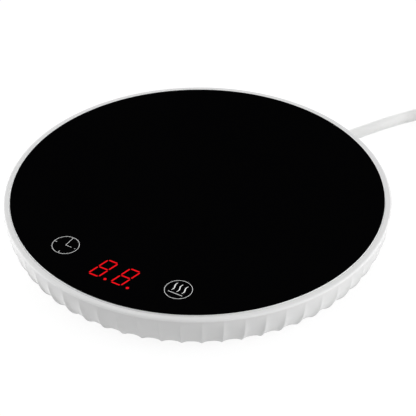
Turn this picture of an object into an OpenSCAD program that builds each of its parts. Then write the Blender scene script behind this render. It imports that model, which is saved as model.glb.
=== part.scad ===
// Electric mug warmer: a black glass heating plate in a white fluted tray, with a touch
// display under the glass and a USB supply lead. Millimetres, +Z up, front towards -Y.

/* [Glass] */
// Diameter of the glass plate
glass_d = 120; // [118:1:140]
// Thickness of the glass plate
glass_t = 3; // [2:0.5:4]
// Radial play of the glass in its recess
glass_gap = 0.15; // [0.1:0.05:0.3]
// Thickness of the adhesive ring under the glass
adhesive_t = 0.4; // [0.2:0.1:0.8]
// Width of the adhesive ring
adhesive_w = 4; // [3:0.2:4.4]

/* [Rim ring] */
// Width of the rim round the glass
rim_w = 2.3; // [2.1:0.1:4]
// Height of the rim band above the joint with the tray
rim_h = 1.6; // [1.2:0.1:2.4]
// Radius of the rim's outer top corner
rim_round = 1; // [0.4:0.1:1.2]
// Thickness of the lip that stands inside the tray's edge
lip_t = 0.85; // [0.7:0.05:1]
// Width of the ledge that carries the glass
ledge_w = 5.2; // [4.6:0.1:5.4]
// Thickness of that ledge
ledge_t = 1.5; // [1.2:0.1:1.8]

/* [Fluted tray] */
// Height from the underside of the tray to the top of the glass
body_h = 14.5; // [14.5:0.5:20]
// Wall of the tray, measured to the ridges
wall_t = 2.2; // [2:0.1:3]
// Thickness of the floor
floor_t = 1.6; // [1.2:0.1:2]
// How far the tray stands back from the rim
skirt_step = 0.2; // [0.1:0.05:0.5]
// Radial half axis of the ellipse that the side follows
side_in = 8.9; // [4:0.1:10]
// How far below the floor that ellipse would close
side_close = 0.6; // [0.4:0.1:3]
// Number of flutes round the side
flute_count = 60; // [40:2:72]
// Depth of a flute at the floor
flute_depth = 0.85; // [0.3:0.05:1]
// How the depth grows from the rim down: 1 is even, more keeps the top plain
flute_growth = 1.2; // [1:0.1:2]

/* [Feet and screws] */
// Diameter of a rubber foot
foot_d = 9; // [7:0.5:11]
// How far a foot stands out below the floor
foot_out = 1.5; // [1:0.25:3]
// Depth of the foot's seat in the floor
foot_seat = 0.7; // [0.4:0.1:0.9]
// Number of feet
foot_count = 4; // [4:4:4]
// Shank diameter of the four housing screws
case_screw_d = 2.4; // [2:0.1:2.6]
// Shank diameter of the small screws inside
small_screw_d = 1.8; // [1.6:0.1:2]

/* [Heater] */
// Diameter of the aluminium heat spreader
spreader_d = 80; // [60:1:80]
// Thickness of the heat spreader
spreader_t = 1; // [0.5:0.1:1.2]
// Thickness of the heating film
film_t = 0.3; // [0.2:0.1:0.4]
// Thickness of the insulation pad
pad_t = 2.4; // [1.6:0.1:2.4]
// Thickness of the steel retaining plate
plate_t = 0.8; // [0.6:0.1:1]

/* [Electronics] */
// Thickness of the control board
board_t = 1.6; // [1:0.2:1.6]
// Height of the board above the floor
board_stand = 1.8; // [1.2:0.1:2]
// Distance from the centre to the board's back edge
board_back = 22; // [18:1:26]
// Distance from the edge of the glass to the middle of the digits
display_inset = 12.4; // [12.2:0.1:13]
// Height of a digit between the middles of its bars
digit_h = 8.2; // [7:0.1:8.6]
// Width of a digit between the middles of its bars
digit_w = 3.6; // [3.2:0.1:4]
// Distance from one digit to the next
digit_pitch = 8.2; // [7.6:0.1:9]
// Lean of the digits in degrees
digit_lean = 12; // [0:1:14]
// Width of a lit bar
bar_w = 0.8; // [0.7:0.05:1]
// Distance from the edge of the glass to the middle of a touch key
key_inset = 11.3; // [11:0.1:12]
// Angle of the touch keys to either side of the front
key_angle = 25; // [24:0.5:27]

/* [Lead and plug] */
// Diameter of the lead
cord_d = 4; // [3.6:0.1:4.2]
// Angle of the lead's exit from the middle of the back
cord_angle = 18; // [12:6:24]
// Height of the lead's middle above the underside of the tray
cord_rise = 5.4; // [5.2:0.1:5.8]
// Length of the plug's moulded grip
grip_l = 24; // [18:1:30]
// Width of the plug's grip
grip_w = 15.6; // [14:0.2:18]
// Thickness of the plug's grip
grip_t = 8; // [7:0.2:10]

/* [Hidden] */
$fn = 96;

// Clearances: parts that slide together, parts that pass each other, a cut's overrun
fit = 0.15;
clear = 0.3;
over = 1;

// Heights, from the table up
floor_z = foot_out;
floor_top = floor_z + floor_t;
top_z = floor_z + body_h;
joint_z = top_z - rim_h;
glass_z = top_z - glass_t;
ledge_top = glass_z - adhesive_t;
ledge_z = ledge_top - ledge_t;
lip_z = ledge_top - lip_t;
spreader_z = glass_z - spreader_t;
film_z = spreader_z - film_t;
pad_z = film_z - pad_t;
plate_z = pad_z - plate_t;
board_z = floor_top + board_stand;
board_top = board_z + board_t;
cord_z = floor_z + cord_rise;

// Radii
glass_r = glass_d / 2;
recess_r = glass_r + glass_gap;
lip_r = recess_r + lip_t;
rim_r = glass_r + rim_w;
ledge_r = glass_r - ledge_w;
skirt_top_r = rim_r - skirt_step;
skirt_h = joint_z - floor_z;
ridge_step = 360 / flute_count;

// Outer radius of the tray's ridges at a height: a quarter ellipse, upright at the rim
function ridge_r(z) =
    skirt_top_r - side_in * (1 - sqrt(1 - pow((joint_z - z) / (skirt_h + side_close), 2)));
// Depth of the flutes at a height
function groove(z) = flute_depth * pow((joint_z - z) / skirt_h, flute_growth);
// Inner radius of the tray's wall at a height
function inner_r(z) = ridge_r(z) - wall_t;
floor_edge_r = ridge_r(floor_z) - flute_depth;

// Housing screws and their posts
head_d = case_screw_d + 2.2;
head_h = 1.5;
head_sunk = 0.5;
post_d = case_screw_d + 3.2;
foot_post_d = head_d + 2;
post_r = floor_edge_r - foot_post_d / 2 - 0.7;
post_meet_z = floor_top + 2;
case_screw_l = 6;
post_angles = [45, 135, 225, 315];

// Small screws: heads and bosses
small_head_d = small_screw_d + 1.9;
small_head_h = 1.2;
boss_d = small_screw_d + 3;

// Retaining plate of the heater, on three arms
plate_r = spreader_d / 2 + 1;
arm_r = post_r - 1;
arm_w = 7;
arm_angles = [90, 210, 330];
probe_hole_d = 6;
cutoff_size = [11, 6, pad_t];
cutoff_at = [-18, 12];
film_r = spreader_d / 2 - 2;
tab_angle = key_angle * 0.7 - 90;
tab_w = 6;
tab_r = plate_r + 2.4;

// Control board: its outline keeps clear of the housing posts and the wall
board_r = inner_r(board_z) - 1.6;
board_half_w = post_r * cos(45) - post_d / 2 - 1.2;
display_y = display_inset - glass_r;
key_r = glass_r - key_inset;
keys_at = [for (side = [-1, 1]) [side * key_r * sin(key_angle), -key_r * cos(key_angle)]];
spring_r = 3;
spring_wire = 0.6;
chip_h = 1.5;

// Screws in the board's corners, and the larger parts between them and the touch keys
screw_in = small_head_d / 2 + 2.1;
board_screws_at = [for (x = [-1, 1], y = [-board_back - screw_in + 0.4, keys_at[0].y])
    [x * (board_half_w - screw_in), y]];
buzzer_d = 9;
buzzer_h = plate_z - board_top - clear;
buzzer_at = [screw_in + small_head_d / 2 + buzzer_d / 2 + 0.8 - board_half_w,
    keys_at[0].y + spring_r + buzzer_d / 2 + 1];
can_d = 6.3;
can_h = 5.6;
can_base = can_d + 0.3;
can_at = [board_half_w - can_base / 2 - 2.1, keys_at[1].y + spring_r + can_base / 2 + 1.2];
light_box_w = digit_pitch + digit_w + 4.6;
light_box_h = digit_h + bar_w + 1.5;
light_box_at = [0.3, display_y];

// Path of the lead through the wall, measured outwards from the centre
tail_start = post_r - 7;
flange_t = 1.4;
sleeve_d = cord_d + 1.6;
flange_d = sleeve_d + 1.4;
pad_face = inner_r(cord_z - flange_d / 2) - 0.1;
sleeve_end = rim_r + 3.7;
clamp_s = post_r - 1.6;
clamp_l = 5;
clamp_side = cord_d / 2 + 3.2;
clamp_arch = cord_d / 2 + 1.3;

// Free lead, laid out by hand on a table at z = 0: from the strain relief to just short of the
// coil, and from just off the coil to the plug
exit_at = [sleeve_end * sin(cord_angle), sleeve_end * cos(cord_angle), cord_z];
cord_points = concat([exit_at], [[21.5, 66.1, 6.75], [23.7, 72.4, 6], [25.6, 78.1, 5.1], [27.8, 84, 4.2],
    [30.2, 89.8, 3.3], [32.8, 95.2, 2.5], [35.9, 100.4, 2.2]]);
coil_at = [66, 98];
coil_mid_r = 23.5;
coil_wide = 2;
coil_high = 4;
tie_t = 0.5;
tie_w = 5;
plug_points = [[91.5, 82, 12.3], [91.5, 76, 9.4], [91.5, 70, 6.4], [91.5, 64, 4.5], [91.5, 60, 4.1],
    [91.5, 56, 4]];
plug_at = [91.5, 56, 4];
relief_l = 9;

// ---- shared shapes ----

function unit(v) = v / norm(v);

// Catmull-Rom curve through the points, n steps between each pair
function curve(p, n) = let (last = len(p) - 1) [
    for (i = [0:last - 1], k = [0:n - 1])
        let (a = p[max(i - 1, 0)], b = p[i], c = p[i + 1], d = p[min(i + 2, last)], t = k / n)
        0.5 * (2 * b + (c - a) * t + (2 * a - 5 * b + 4 * c - d) * t * t
            + (3 * b - a - 3 * c + d) * t * t * t),
    p[last]];

// Directions along a line of points, and a normal carried along it without twisting
function headings(p) = [for (i = [0:len(p) - 1]) unit(p[min(i + 1, len(p) - 1)] - p[max(i - 1, 0)])];
function carried(t, n, i = 0) = i == len(t) ? [] :
    let (m = unit(n - (n * t[i]) * t[i])) concat([m], carried(t, m, i + 1));

// A round tube swept along a line of points
module tube(p, d, sides) {
    t = headings(p);
    first = abs(t[0].z) < 0.9 ? [0, 0, 1] : [1, 0, 0];
    n = carried(t, first);
    rings = [for (i = [0:len(p) - 1], j = [0:sides - 1])
        p[i] + d / 2 * (cos(j * 360 / sides) * n[i] + sin(j * 360 / sides) * cross(t[i], n[i]))];
    walls = [for (i = [0:len(p) - 2], j = [0:sides - 1]) let (k = (j + 1) % sides)
        [i * sides + j, (i + 1) * sides + j, (i + 1) * sides + k, i * sides + k]];
    near_cap = [for (j = [0:sides - 1]) j];
    far_cap = [for (j = [sides - 1:-1:0]) (len(p) - 1) * sides + j];
    polyhedron(rings, concat(walls, [near_cap, far_cap]), convexity = 8);
}

// A pan-head screw with a cross recess: head under z = 0, shank up
module screw(d, shank_l, cap_d, cap_h) {
    slot_w = d * 0.3;
    slot_l = cap_d * 0.6;
    difference() {
        union() {
            cylinder(d = d, h = shank_l);
            translate([0, 0, -cap_h]) cylinder(d = cap_d, h = cap_h);
        }
        for (turn = [0, 90]) rotate(turn) translate([-slot_l / 2, -slot_w / 2, -cap_h - over])
            cube([slot_l, slot_w, cap_h / 2 + over]);
    }
}

// Children moved out to the lead's axis and turned so that their +Z points out along it
module along_lead(s) {
    rotate(90 - cord_angle) translate([s, 0, cord_z]) rotate([0, 90, 0]) children();
}

// A ring of two radii
module ring(outer, inner, h) {
    difference() {
        cylinder(r = outer, h = h);
        translate([0, 0, -over]) cylinder(r = inner, h = h + 2 * over);
    }
}

// ---- glass and rim ----

module glass_plate() color([0.02, 0.02, 0.025]) {
    edge = 0.3;
    translate([0, 0, glass_z]) {
        cylinder(r = glass_r, h = glass_t - edge);
        translate([0, 0, glass_t - edge]) cylinder(r1 = glass_r, r2 = glass_r - edge, h = edge);
    }
}

module glass_adhesive() color([0.2, 0.2, 0.2])
    translate([0, 0, ledge_top]) ring(ledge_r + 0.4 + adhesive_w, ledge_r + 0.4, adhesive_t);

// Section of the rim: rounded band, lip inside the tray's edge, ledge under the glass
module rim_section() {
    bevel = 0.25;
    band = rim_r - recess_r;
    translate([recess_r, joint_z]) {
        difference() {
            union() {
                square([band - rim_round, rim_h]);
                square([band, rim_h - rim_round]);
                translate([band - rim_round, rim_h - rim_round]) circle(rim_round);
            }
            polygon([[-over, rim_h + over], [-over, rim_h - bevel - over], [bevel + over, rim_h + over]]);
            translate([-over - rim_round, -over]) square([over + rim_round, rim_h + 2 * over]);
            translate([-over, -over - rim_round]) square([band + over, over + rim_round]);
        }
    }
    translate([recess_r, lip_z]) square([lip_t, joint_z - lip_z]);
    translate([ledge_r, lip_z]) square([lip_r - ledge_r, lip_t]);
    translate([ledge_r, ledge_z]) square([inner_r(ledge_z) - fit - ledge_r, ledge_t]);
}

// An ear on the ledge's inner edge, with a post hanging from it
module hung_post(angle, r, d, bottom) {
    rotate(angle) {
        translate([r, 0, bottom]) cylinder(d = d, h = ledge_top - bottom);
        translate([r, 0, ledge_z]) cylinder(d = d + 1.4, h = ledge_t);
        translate([r, -(d + 1.4) / 2, ledge_z]) cube([ledge_r + 1 - r, d + 1.4, ledge_t]);
    }
}

module rim_ring() color([0.93, 0.93, 0.93]) {
    difference() {
        union() {
            rotate_extrude() rim_section();
            for (a = post_angles) hung_post(a, post_r, post_d, post_meet_z);
            for (a = arm_angles) hung_post(a, arm_r, boss_d, pad_z);
        }
        for (a = post_angles) rotate(a) translate([post_r, 0, post_meet_z - over])
            cylinder(d = case_screw_d + 0.1, h = case_screw_l + over);
        for (a = arm_angles) rotate(a) translate([arm_r, 0, pad_z - over])
            cylinder(d = small_screw_d + 0.1, h = ledge_top - 0.5 - pad_z + over);
    }
}

// ---- fluted tray ----

// The outside of the tray as one solid, a little too deep and too high, so that flat cuts end
// it. Each ring of points runs round at one height, and dips between the ridges as the square
// of the way from the ridge to the flute's middle.
module fluted_body() {
    steps = 6;
    bands = 6;
    around = flute_count * steps;
    low = floor_z - side_close / 2;
    high = joint_z + over / 2;
    heights = [for (i = [0:bands]) low + (high - low) * (1 - sin(90 * (1 - i / bands)))];
    function dip(j) = 1 - pow(2 * (j % steps) / steps - 1, 2);
    points = [for (z = heights, j = [0:around - 1])
        let (y = min(z, joint_z), r = ridge_r(y) - groove(y) * dip(j), a = (j / steps - 0.5) * ridge_step - 90)
        [r * cos(a), r * sin(a), z]];
    sides = [for (i = [0:bands - 1], j = [0:around - 1]) let (k = (j + 1) % around)
        [i * around + j, (i + 1) * around + j, (i + 1) * around + k, i * around + k]];
    floor_face = [for (j = [0:around - 1]) j];
    top_face = [for (j = [around - 1:-1:0]) bands * around + j];
    polyhedron(points, concat(sides, [floor_face, top_face]), convexity = 4);
}

// The room inside the tray, with the wider seat for the rim's lip at the top. A block is left
// standing in it against the wall, for the lead to pass through.
module tray_room() {
    levels = 8;
    seat_z = lip_z - fit;
    wall_line = [for (i = [0:levels]) let (z = floor_top + (seat_z - floor_top) * i / levels) [inner_r(z), z]];
    pad_w = sleeve_d + 4.4;
    difference() {
        rotate_extrude() polygon(concat([[0, floor_top]], wall_line,
            [[lip_r + fit, seat_z], [lip_r + fit, joint_z], [rim_r + over, joint_z],
            [rim_r + over, joint_z + over], [0, joint_z + over]]));
        rotate(90 - cord_angle) translate([pad_face, -pad_w / 2, floor_z])
            cube([wall_t + 4, pad_w, ledge_z - clear - floor_z]);
    }
}

module tray_bosses() {
    root_z = floor_z + floor_t / 2;
    for (a = post_angles) rotate(a) translate([post_r, 0, root_z])
        cylinder(d = foot_post_d, h = post_meet_z - root_z);
    for (p = board_screws_at) translate([p.x, p.y, root_z]) cylinder(d = boss_d, h = board_z - root_z);
    // Saddle and two bosses under the lead
    rotate(90 - cord_angle) translate([clamp_s, 0, floor_top - 0.1]) {
        translate([-clamp_l / 2, -cord_d / 2, 0]) cube([clamp_l, cord_d, cord_z - 0.8 - floor_top]);
        for (side = [-1, 1]) translate([0, side * clamp_side, 0])
            cylinder(d = boss_d, h = cord_z - floor_top + 0.1);
    }
}

module fluted_tray() color([0.9, 0.9, 0.9]) {
    seat_z = floor_z + head_h + head_sunk;
    difference() {
        union() {
            difference() {
                fluted_body();
                tray_room();
                translate([0, 0, floor_z - over]) cylinder(r = rim_r, h = over);
            }
            tray_bosses();
        }
        for (a = post_angles) rotate(a) translate([post_r, 0, floor_z - over]) {
            cylinder(d = head_d + 0.4, h = seat_z - floor_z + over);
            cylinder(d = case_screw_d + 0.4, h = post_meet_z - floor_z + 2 * over);
        }
        for (i = [0:foot_count - 1]) rotate(i * 360 / foot_count) translate([foot_at(), 0, floor_z - over])
            cylinder(d = foot_d + 0.4, h = foot_seat + over);
        for (p = board_screws_at) translate([p.x, p.y, floor_z + 0.8])
            cylinder(d = small_screw_d + 0.1, h = board_z - floor_z);
        along_lead(pad_face - over) rotate(40) cylinder(d = sleeve_d + 0.2, h = 10);
        along_lead(clamp_s - clamp_l) rotate(40) cylinder(d = cord_d + 0.2, h = 2 * clamp_l);
        rotate(90 - cord_angle) for (side = [-1, 1])
            translate([clamp_s, side * clamp_side, floor_z + 1]) cylinder(d = small_screw_d + 0.1, h = cord_z);
    }
}

// ---- feet and housing screws ----

function foot_at() = floor_edge_r - foot_d / 2 - 3.4;

module rubber_feet() color([0.78, 0.78, 0.78])
    for (i = [0:foot_count - 1]) rotate(i * 360 / foot_count) translate([foot_at(), 0, 0]) {
        cylinder(d1 = foot_d - 0.8, d2 = foot_d, h = 0.4);
        translate([0, 0, 0.4]) cylinder(d = foot_d, h = foot_out + foot_seat - 0.4);
    }

module housing_screws() color([0.6, 0.6, 0.62])
    for (a = post_angles) rotate(a) translate([post_r, 0, floor_z + head_h + head_sunk])
        screw(case_screw_d, case_screw_l, head_d, head_h);

// ---- heater ----

// What the heater keeps clear of: the tall parts on the board, which reach up beside it, and
// the end of the lead with its clamp
module tall_parts_room() {
    grown = 2 * clear;
    along_lead(tail_start - clear) cylinder(d = cord_d + grown, h = clamp_s - tail_start);
    along_lead(clamp_s - clamp_l / 2 - clear) cylinder(r = clamp_arch + clear, h = clamp_l);
    translate([0, 0, board_top]) linear_extrude(glass_z - board_top + over) {
        translate(light_box_at) square([light_box_w + grown, light_box_h + grown], center = true);
        for (k = keys_at) translate(k) circle(d = 2 * spring_r + spring_wire + grown);
        translate(can_at) circle(d = can_d + grown);
    }
}

module heat_spreader() color([0.82, 0.83, 0.85])
    difference() {
        translate([0, 0, spreader_z]) cylinder(d = spreader_d, h = spreader_t);
        tall_parts_room();
    }

module heating_film() color([0.75, 0.5, 0.15])
    difference() {
        translate([0, 0, film_z]) {
            cylinder(r = film_r, h = film_t);
            rotate(tab_angle) translate([0, -tab_w / 2, 0]) cube([tab_r, tab_w, film_t]);
        }
        tall_parts_room();
    }

module insulation_pad() color([0.9, 0.88, 0.8])
    difference() {
        translate([0, 0, pad_z]) cylinder(d = spreader_d, h = pad_t);
        translate([0, 0, pad_z - over]) cylinder(d = probe_hole_d, h = pad_t + 2 * over);
        translate([cutoff_at.x, cutoff_at.y, pad_z + pad_t / 2])
            cube([cutoff_size.x + 2 * clear, cutoff_size.y + 2 * clear, pad_t + 2 * over], center = true);
        tall_parts_room();
    }

module heater_retainer() color([0.7, 0.71, 0.73])
    difference() {
        translate([0, 0, plate_z]) {
            cylinder(r = plate_r, h = plate_t);
            for (a = arm_angles) rotate(a) {
                translate([0, -arm_w / 2, 0]) cube([arm_r, arm_w, plate_t]);
                translate([arm_r, 0, 0]) cylinder(d = arm_w, h = plate_t);
            }
        }
        translate([0, 0, plate_z - over]) {
            for (a = arm_angles) rotate(a) translate([arm_r, 0, 0])
                cylinder(d = small_screw_d + 0.4, h = plate_t + 2 * over);
            cylinder(d = probe_hole_d, h = plate_t + 2 * over);
            translate([cutoff_at.x, cutoff_at.y, 0]) cylinder(d = 3.4, h = plate_t + 2 * over);
        }
        tall_parts_room();
    }

module retainer_screws() color([0.6, 0.6, 0.62])
    for (a = arm_angles) rotate(a) translate([arm_r, 0, plate_z])
        screw(small_screw_d, ledge_top - 0.8 - plate_z, small_head_d, small_head_h);

module thermistor() color([0.15, 0.12, 0.1])
    translate([0, 0, film_z - 1.5]) cylinder(d = 2.4, h = 1.5);

module thermistor_leads() color([0.9, 0.9, 0.9])
    for (side = [-1, 1]) let (x = 0.6 * side, end_x = x * 2 - 5, low = board_top + 0.5)
        tube(curve([[x, 0, film_z - 1.5], [x, 0, pad_z], [x, -1.5, plate_z - 0.5],
            [x - 1, -8, low + 0.1], [end_x, -board_back + 1, low + 0.1], [end_x, -board_back - 3, low]], 3),
            0.8, 6);

module thermal_cutoff() color([0.85, 0.85, 0.8])
    translate([cutoff_at.x, cutoff_at.y, pad_z + pad_t / 2]) cube(cutoff_size, center = true);

// One lead from the film's tab, one from the cut-off, both down to the board
module heater_leads() color([0.8, 0.1, 0.1]) {
    lead_d = 1.3;
    tab = [cos(tab_angle), sin(tab_angle)] * (plate_r + lead_d);
    low = board_top + lead_d / 2;
    tube(curve([[tab.x, tab.y, film_z], [tab.x, tab.y, film_z - 2], [tab.x + 0.3, tab.y - 0.4, low + 1],
        [tab.x + 0.6, tab.y - 1, board_top]], 4), lead_d, 6);
    tube(curve([[cutoff_at.x, cutoff_at.y, pad_z], [cutoff_at.x, cutoff_at.y, plate_z],
        [cutoff_at.x, cutoff_at.y - 3, plate_z - 2.4], [cutoff_at.x + 2, -8, board_z],
        [cutoff_at.x + 4, -board_back + 1.6, board_top], [cutoff_at.x + 4, -board_back - 2, low]], 3),
        lead_d, 6);
}

// ---- electronics ----

module control_board() color([0.08, 0.35, 0.18])
    difference() {
        translate([0, 0, board_z]) intersection() {
            cylinder(r = board_r, h = board_t);
            translate([-board_half_w, -board_r, 0]) cube([2 * board_half_w, board_r - board_back, board_t]);
        }
        for (p = board_screws_at) translate([p.x, p.y, board_z - over])
            cylinder(d = small_screw_d + 0.4, h = board_t + 2 * over);
    }

module board_screws() color([0.6, 0.6, 0.62])
    for (p = board_screws_at) translate([p.x, p.y, board_top]) mirror([0, 0, 1])
        screw(small_screw_d, board_top - floor_z - 1, small_head_d, small_head_h);

// Middles of a digit's seven bars, each as its two ends, leaning with the digit
function lean(p) = [p.x + p.y * tan(digit_lean), p.y];
digit_bars = let (w = digit_w / 2, h = digit_h / 2) [
    [[-w, h], [w, h]], [[-w, 0], [w, 0]], [[-w, -h], [w, -h]],
    [[-w, 0], [-w, h]], [[w, 0], [w, h]], [[-w, -h], [-w, 0]], [[w, -h], [w, 0]]];
digits_at = [for (side = [-0.5, 0.5]) [side * digit_pitch, display_y]];
dot_d = 1;
dot_at = [digit_w / 2 + 1.5, -digit_h / 2];

// One bar's outline: six corners, pointed at both ends, short of its neighbours
module bar_outline(bar, w) {
    short = bar_w * 0.62;
    a = bar[0] + unit(bar[1] - bar[0]) * short;
    b = bar[1] - unit(bar[1] - bar[0]) * short;
    u = unit(b - a);
    v = [-u.y, u.x] * w / 2;
    tip = u * w / 2;
    polygon([for (p = [a - tip, a + v, b + v, b + tip, b - v, a - v]) lean(p)]);
}

// All bars and dots of both digits as outlines of one width
module display_outline(w, dot) {
    for (d = digits_at) translate(d) {
        for (bar = digit_bars) bar_outline(bar, w);
        translate(dot_at) circle(d = dot);
    }
}

module display_light_box() color([0.95, 0.95, 0.93])
    translate([0, 0, board_top]) linear_extrude(glass_z - board_top) difference() {
        translate(light_box_at) square([light_box_w, light_box_h], center = true);
        display_outline(bar_w, dot_d);
    }

module display_segments() color([0.95, 0.08, 0.08])
    translate([0, 0, glass_z - 1.6]) linear_extrude(1.6) display_outline(bar_w - 0.1, dot_d - 0.1);

module segment_leds() color([0.95, 0.9, 0.8])
    translate([0, 0, board_top]) for (d = digits_at) translate(d) {
        for (bar = digit_bars) let (a = lean(bar[0]), b = lean(bar[1]), m = (a + b) / 2)
            translate(m) rotate(atan2(b.y - a.y, b.x - a.x))
                translate([-0.6, -0.25, 0]) cube([1.2, 0.5, 0.5]);
        translate(dot_at) translate([-0.25, -0.25, 0]) cube([0.5, 0.5, 0.5]);
    }

// Wire springs that carry the touch keys' charge from the board up to the glass
module touch_springs() color([0.8, 0.7, 0.4]) {
    turns = 5;
    steps = 12;
    low = board_top + spring_wire / 2;
    high = glass_z - spring_wire / 2;
    for (k = keys_at) tube([for (i = [0:turns * steps]) let (a = i * 360 / steps)
        [k.x + spring_r * cos(a), k.y + spring_r * sin(a), low + (high - low) * i / (turns * steps)]],
        spring_wire, 6);
}

// A flat chip with its rows of legs, standing on the board
module chip(l, w, legs) {
    leg_pitch = 1.27;
    translate([-l / 2, -w / 2, 0.1]) cube([l, w, chip_h - 0.1]);
    for (i = [0:legs - 1], side = [-1, 1])
        translate([(i - (legs - 1) / 2) * leg_pitch - 0.2, side > 0 ? w / 2 - 0.1 : -w / 2 - 0.9, 0])
            cube([0.4, 1, 0.3]);
}

module microcontroller() color([0.12, 0.12, 0.12])
    translate([-2, -board_back - 11, board_top]) chip(12.6, 4.5, 8);

module heater_switch() color([0.12, 0.12, 0.12])
    translate([14, -board_back - 10, board_top]) chip(5, 4, 4);

module smoothing_capacitor() color([0.75, 0.76, 0.78])
    translate([can_at.x, can_at.y, board_top]) {
        cylinder(d = can_d, h = can_h);
        translate([-can_base / 2, -can_base / 2, 0]) cube([can_base, can_base, 0.8]);
    }

// Flat buzzer, low enough to sit under the heater's plate
module buzzer() color([0.1, 0.1, 0.1])
    translate([buzzer_at.x, buzzer_at.y, board_top]) difference() {
        cylinder(d = buzzer_d, h = buzzer_h);
        translate([0, 0, buzzer_h - 0.8]) cylinder(d = 1.6, h = 0.8 + over);
    }

// Two wires from the end of the lead, along the floor and up onto the board
module power_leads() color([0.15, 0.15, 0.15]) {
    wire_d = 1.3;
    a = 90 - cord_angle;
    low = floor_top + wire_d / 2 + 0.1;
    for (side = [-1, 1]) let (off = side * 0.8, bend = 8 + 1.2 * side)
        tube(curve([
            [tail_start * cos(a) - off * sin(a), tail_start * sin(a) + off * cos(a), cord_z],
            [(tail_start - 3) * cos(a) - off * sin(a), (tail_start - 3) * sin(a) + off * cos(a), cord_z - 0.4],
            [bend + 3, tail_start - 12, low + 0.4], [bend + 1, 12, low], [bend, -6, low],
            [bend, -board_back + 5, low + 0.8], [bend, -board_back + 1.4, board_top - 0.6],
            [bend, -board_back - 0.6, board_top + wire_d / 2 + 0.35],
            [bend, -board_back - 2.6, board_top + wire_d / 2]], 3), wire_d, 6);
}

// ---- lead and plug ----

module cord_clamp() color([0.92, 0.92, 0.92]) {
    wing_t = 1.4;
    rotate(90 - cord_angle) translate([clamp_s, 0, cord_z]) difference() {
        union() {
            translate([-clamp_l / 2, -clamp_side, 0]) cube([clamp_l, 2 * clamp_side, wing_t]);
            for (side = [-1, 1]) translate([0, side * clamp_side, 0]) cylinder(d = clamp_l, h = wing_t);
            intersection() {
                translate([-clamp_l / 2, 0, 0]) rotate([0, 90, 0]) cylinder(r = clamp_arch, h = clamp_l);
                translate([-clamp_l / 2, -clamp_arch, 0]) cube([clamp_l, 2 * clamp_arch, clamp_arch]);
            }
        }
        translate([-clamp_l, 0, 0]) rotate([0, 90, 0]) cylinder(d = cord_d + 0.2, h = 2 * clamp_l);
        for (side = [-1, 1]) translate([0, side * clamp_side, -over])
            cylinder(d = small_screw_d + 0.4, h = wing_t + 2 * over);
    }
}

module clamp_screws() color([0.6, 0.6, 0.62])
    rotate(90 - cord_angle) for (side = [-1, 1]) translate([clamp_s, side * clamp_side, cord_z + 1.4])
        mirror([0, 0, 1]) screw(small_screw_d, cord_z - floor_z, small_head_d, small_head_h);

// Rubber sleeve moulded onto the lead: flange inside the wall, taper outside
module strain_relief() color([0.93, 0.93, 0.93]) {
    taper_l = 3.5;
    along_lead(pad_face - flange_t) rotate_extrude() polygon([[0, 0], [flange_d / 2, 0],
        [flange_d / 2, flange_t], [sleeve_d / 2, flange_t],
        [sleeve_d / 2, sleeve_end - taper_l - pad_face + flange_t],
        [cord_d / 2 + 0.4, sleeve_end - pad_face + flange_t], [0, sleeve_end - pad_face + flange_t]]);
}

module cord_tail() color([0.93, 0.93, 0.93])
    along_lead(tail_start) cylinder(d = cord_d, h = pad_face - flange_t - tail_start);

module cord() color([0.93, 0.93, 0.93]) tube(curve(cord_points, 1), cord_d, 10);

// The rest of the lead as one closed ring: turns side by side and on each other
module cord_coil() color([0.93, 0.93, 0.93]) {
    wide = coil_wide * cord_d;
    high = coil_high * cord_d;
    corner = cord_d / 2;
    translate([coil_at.x, coil_at.y, tie_t]) rotate_extrude() translate([coil_mid_r - wide / 2, 0]) {
        translate([corner, 0]) square([wide - 2 * corner, high]);
        translate([0, corner]) square([wide, high - 2 * corner]);
        for (x = [corner, wide - corner], y = [corner, high - corner]) translate([x, y]) circle(corner);
    }
}

// Wire tie in a flat plastic sleeve, bent round the coil
module coil_tie() color([0.15, 0.15, 0.15]) {
    gap = 0.1;
    wide = coil_wide * cord_d + 2 * gap;
    high = coil_high * cord_d + gap;
    translate([coil_at.x, coil_at.y, 0]) rotate(-110) translate([coil_mid_r, tie_w / 2, 0]) rotate([90, 0, 0])
        linear_extrude(tie_w) difference() {
            translate([-wide / 2 - tie_t, 0]) square([wide + 2 * tie_t, high + 2 * tie_t]);
            translate([-wide / 2, tie_t]) square([wide, high]);
        }
}

module plug_lead() color([0.93, 0.93, 0.93]) tube(curve(plug_points, 2), cord_d, 10);

// A rectangle with round corners
module rounded(w, h, r) {
    translate([-w / 2 + r, -h / 2]) square([w - 2 * r, h]);
    translate([-w / 2, -h / 2 + r]) square([w, h - 2 * r]);
    for (x = [-1, 1], y = [-1, 1]) translate([x * (w / 2 - r), y * (h / 2 - r)]) circle(r);
}

// Children stand on the lead's end at the plug, with their +Z along the plug
module at_plug(z) {
    translate(plug_at) rotate([90, 0, 0]) translate([0, 0, z]) children();
}

shell_size = [12, 4.5, 12];
shell_wall = 0.3;

module plug_grip() color([0.93, 0.93, 0.93]) {
    rib_count = 4;
    rib_pitch = relief_l / rib_count;
    at_plug(0) cylinder(d1 = cord_d + 1, d2 = cord_d + 2.4, h = relief_l);
    for (i = [0:rib_count - 1]) at_plug(i * rib_pitch + rib_pitch / 2)
        cylinder(d = cord_d + 2 + i * 0.4, h = rib_pitch / 2);
    at_plug(relief_l) linear_extrude(grip_l) rounded(grip_w, grip_t, 2);
}

module plug_shell() color([0.75, 0.76, 0.78]) {
    window = 2.2;
    at_plug(relief_l + grip_l) difference() {
        linear_extrude(shell_size.z) difference() {
            rounded(shell_size.x, shell_size.y, 0.6);
            square([shell_size.x - 2 * shell_wall, shell_size.y - 2 * shell_wall], center = true);
        }
        for (x = [-1, 1]) translate([x * 2.8 - window / 2, -shell_size.y, 5])
            cube([window, 2 * shell_size.y, window]);
    }
}

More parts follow.
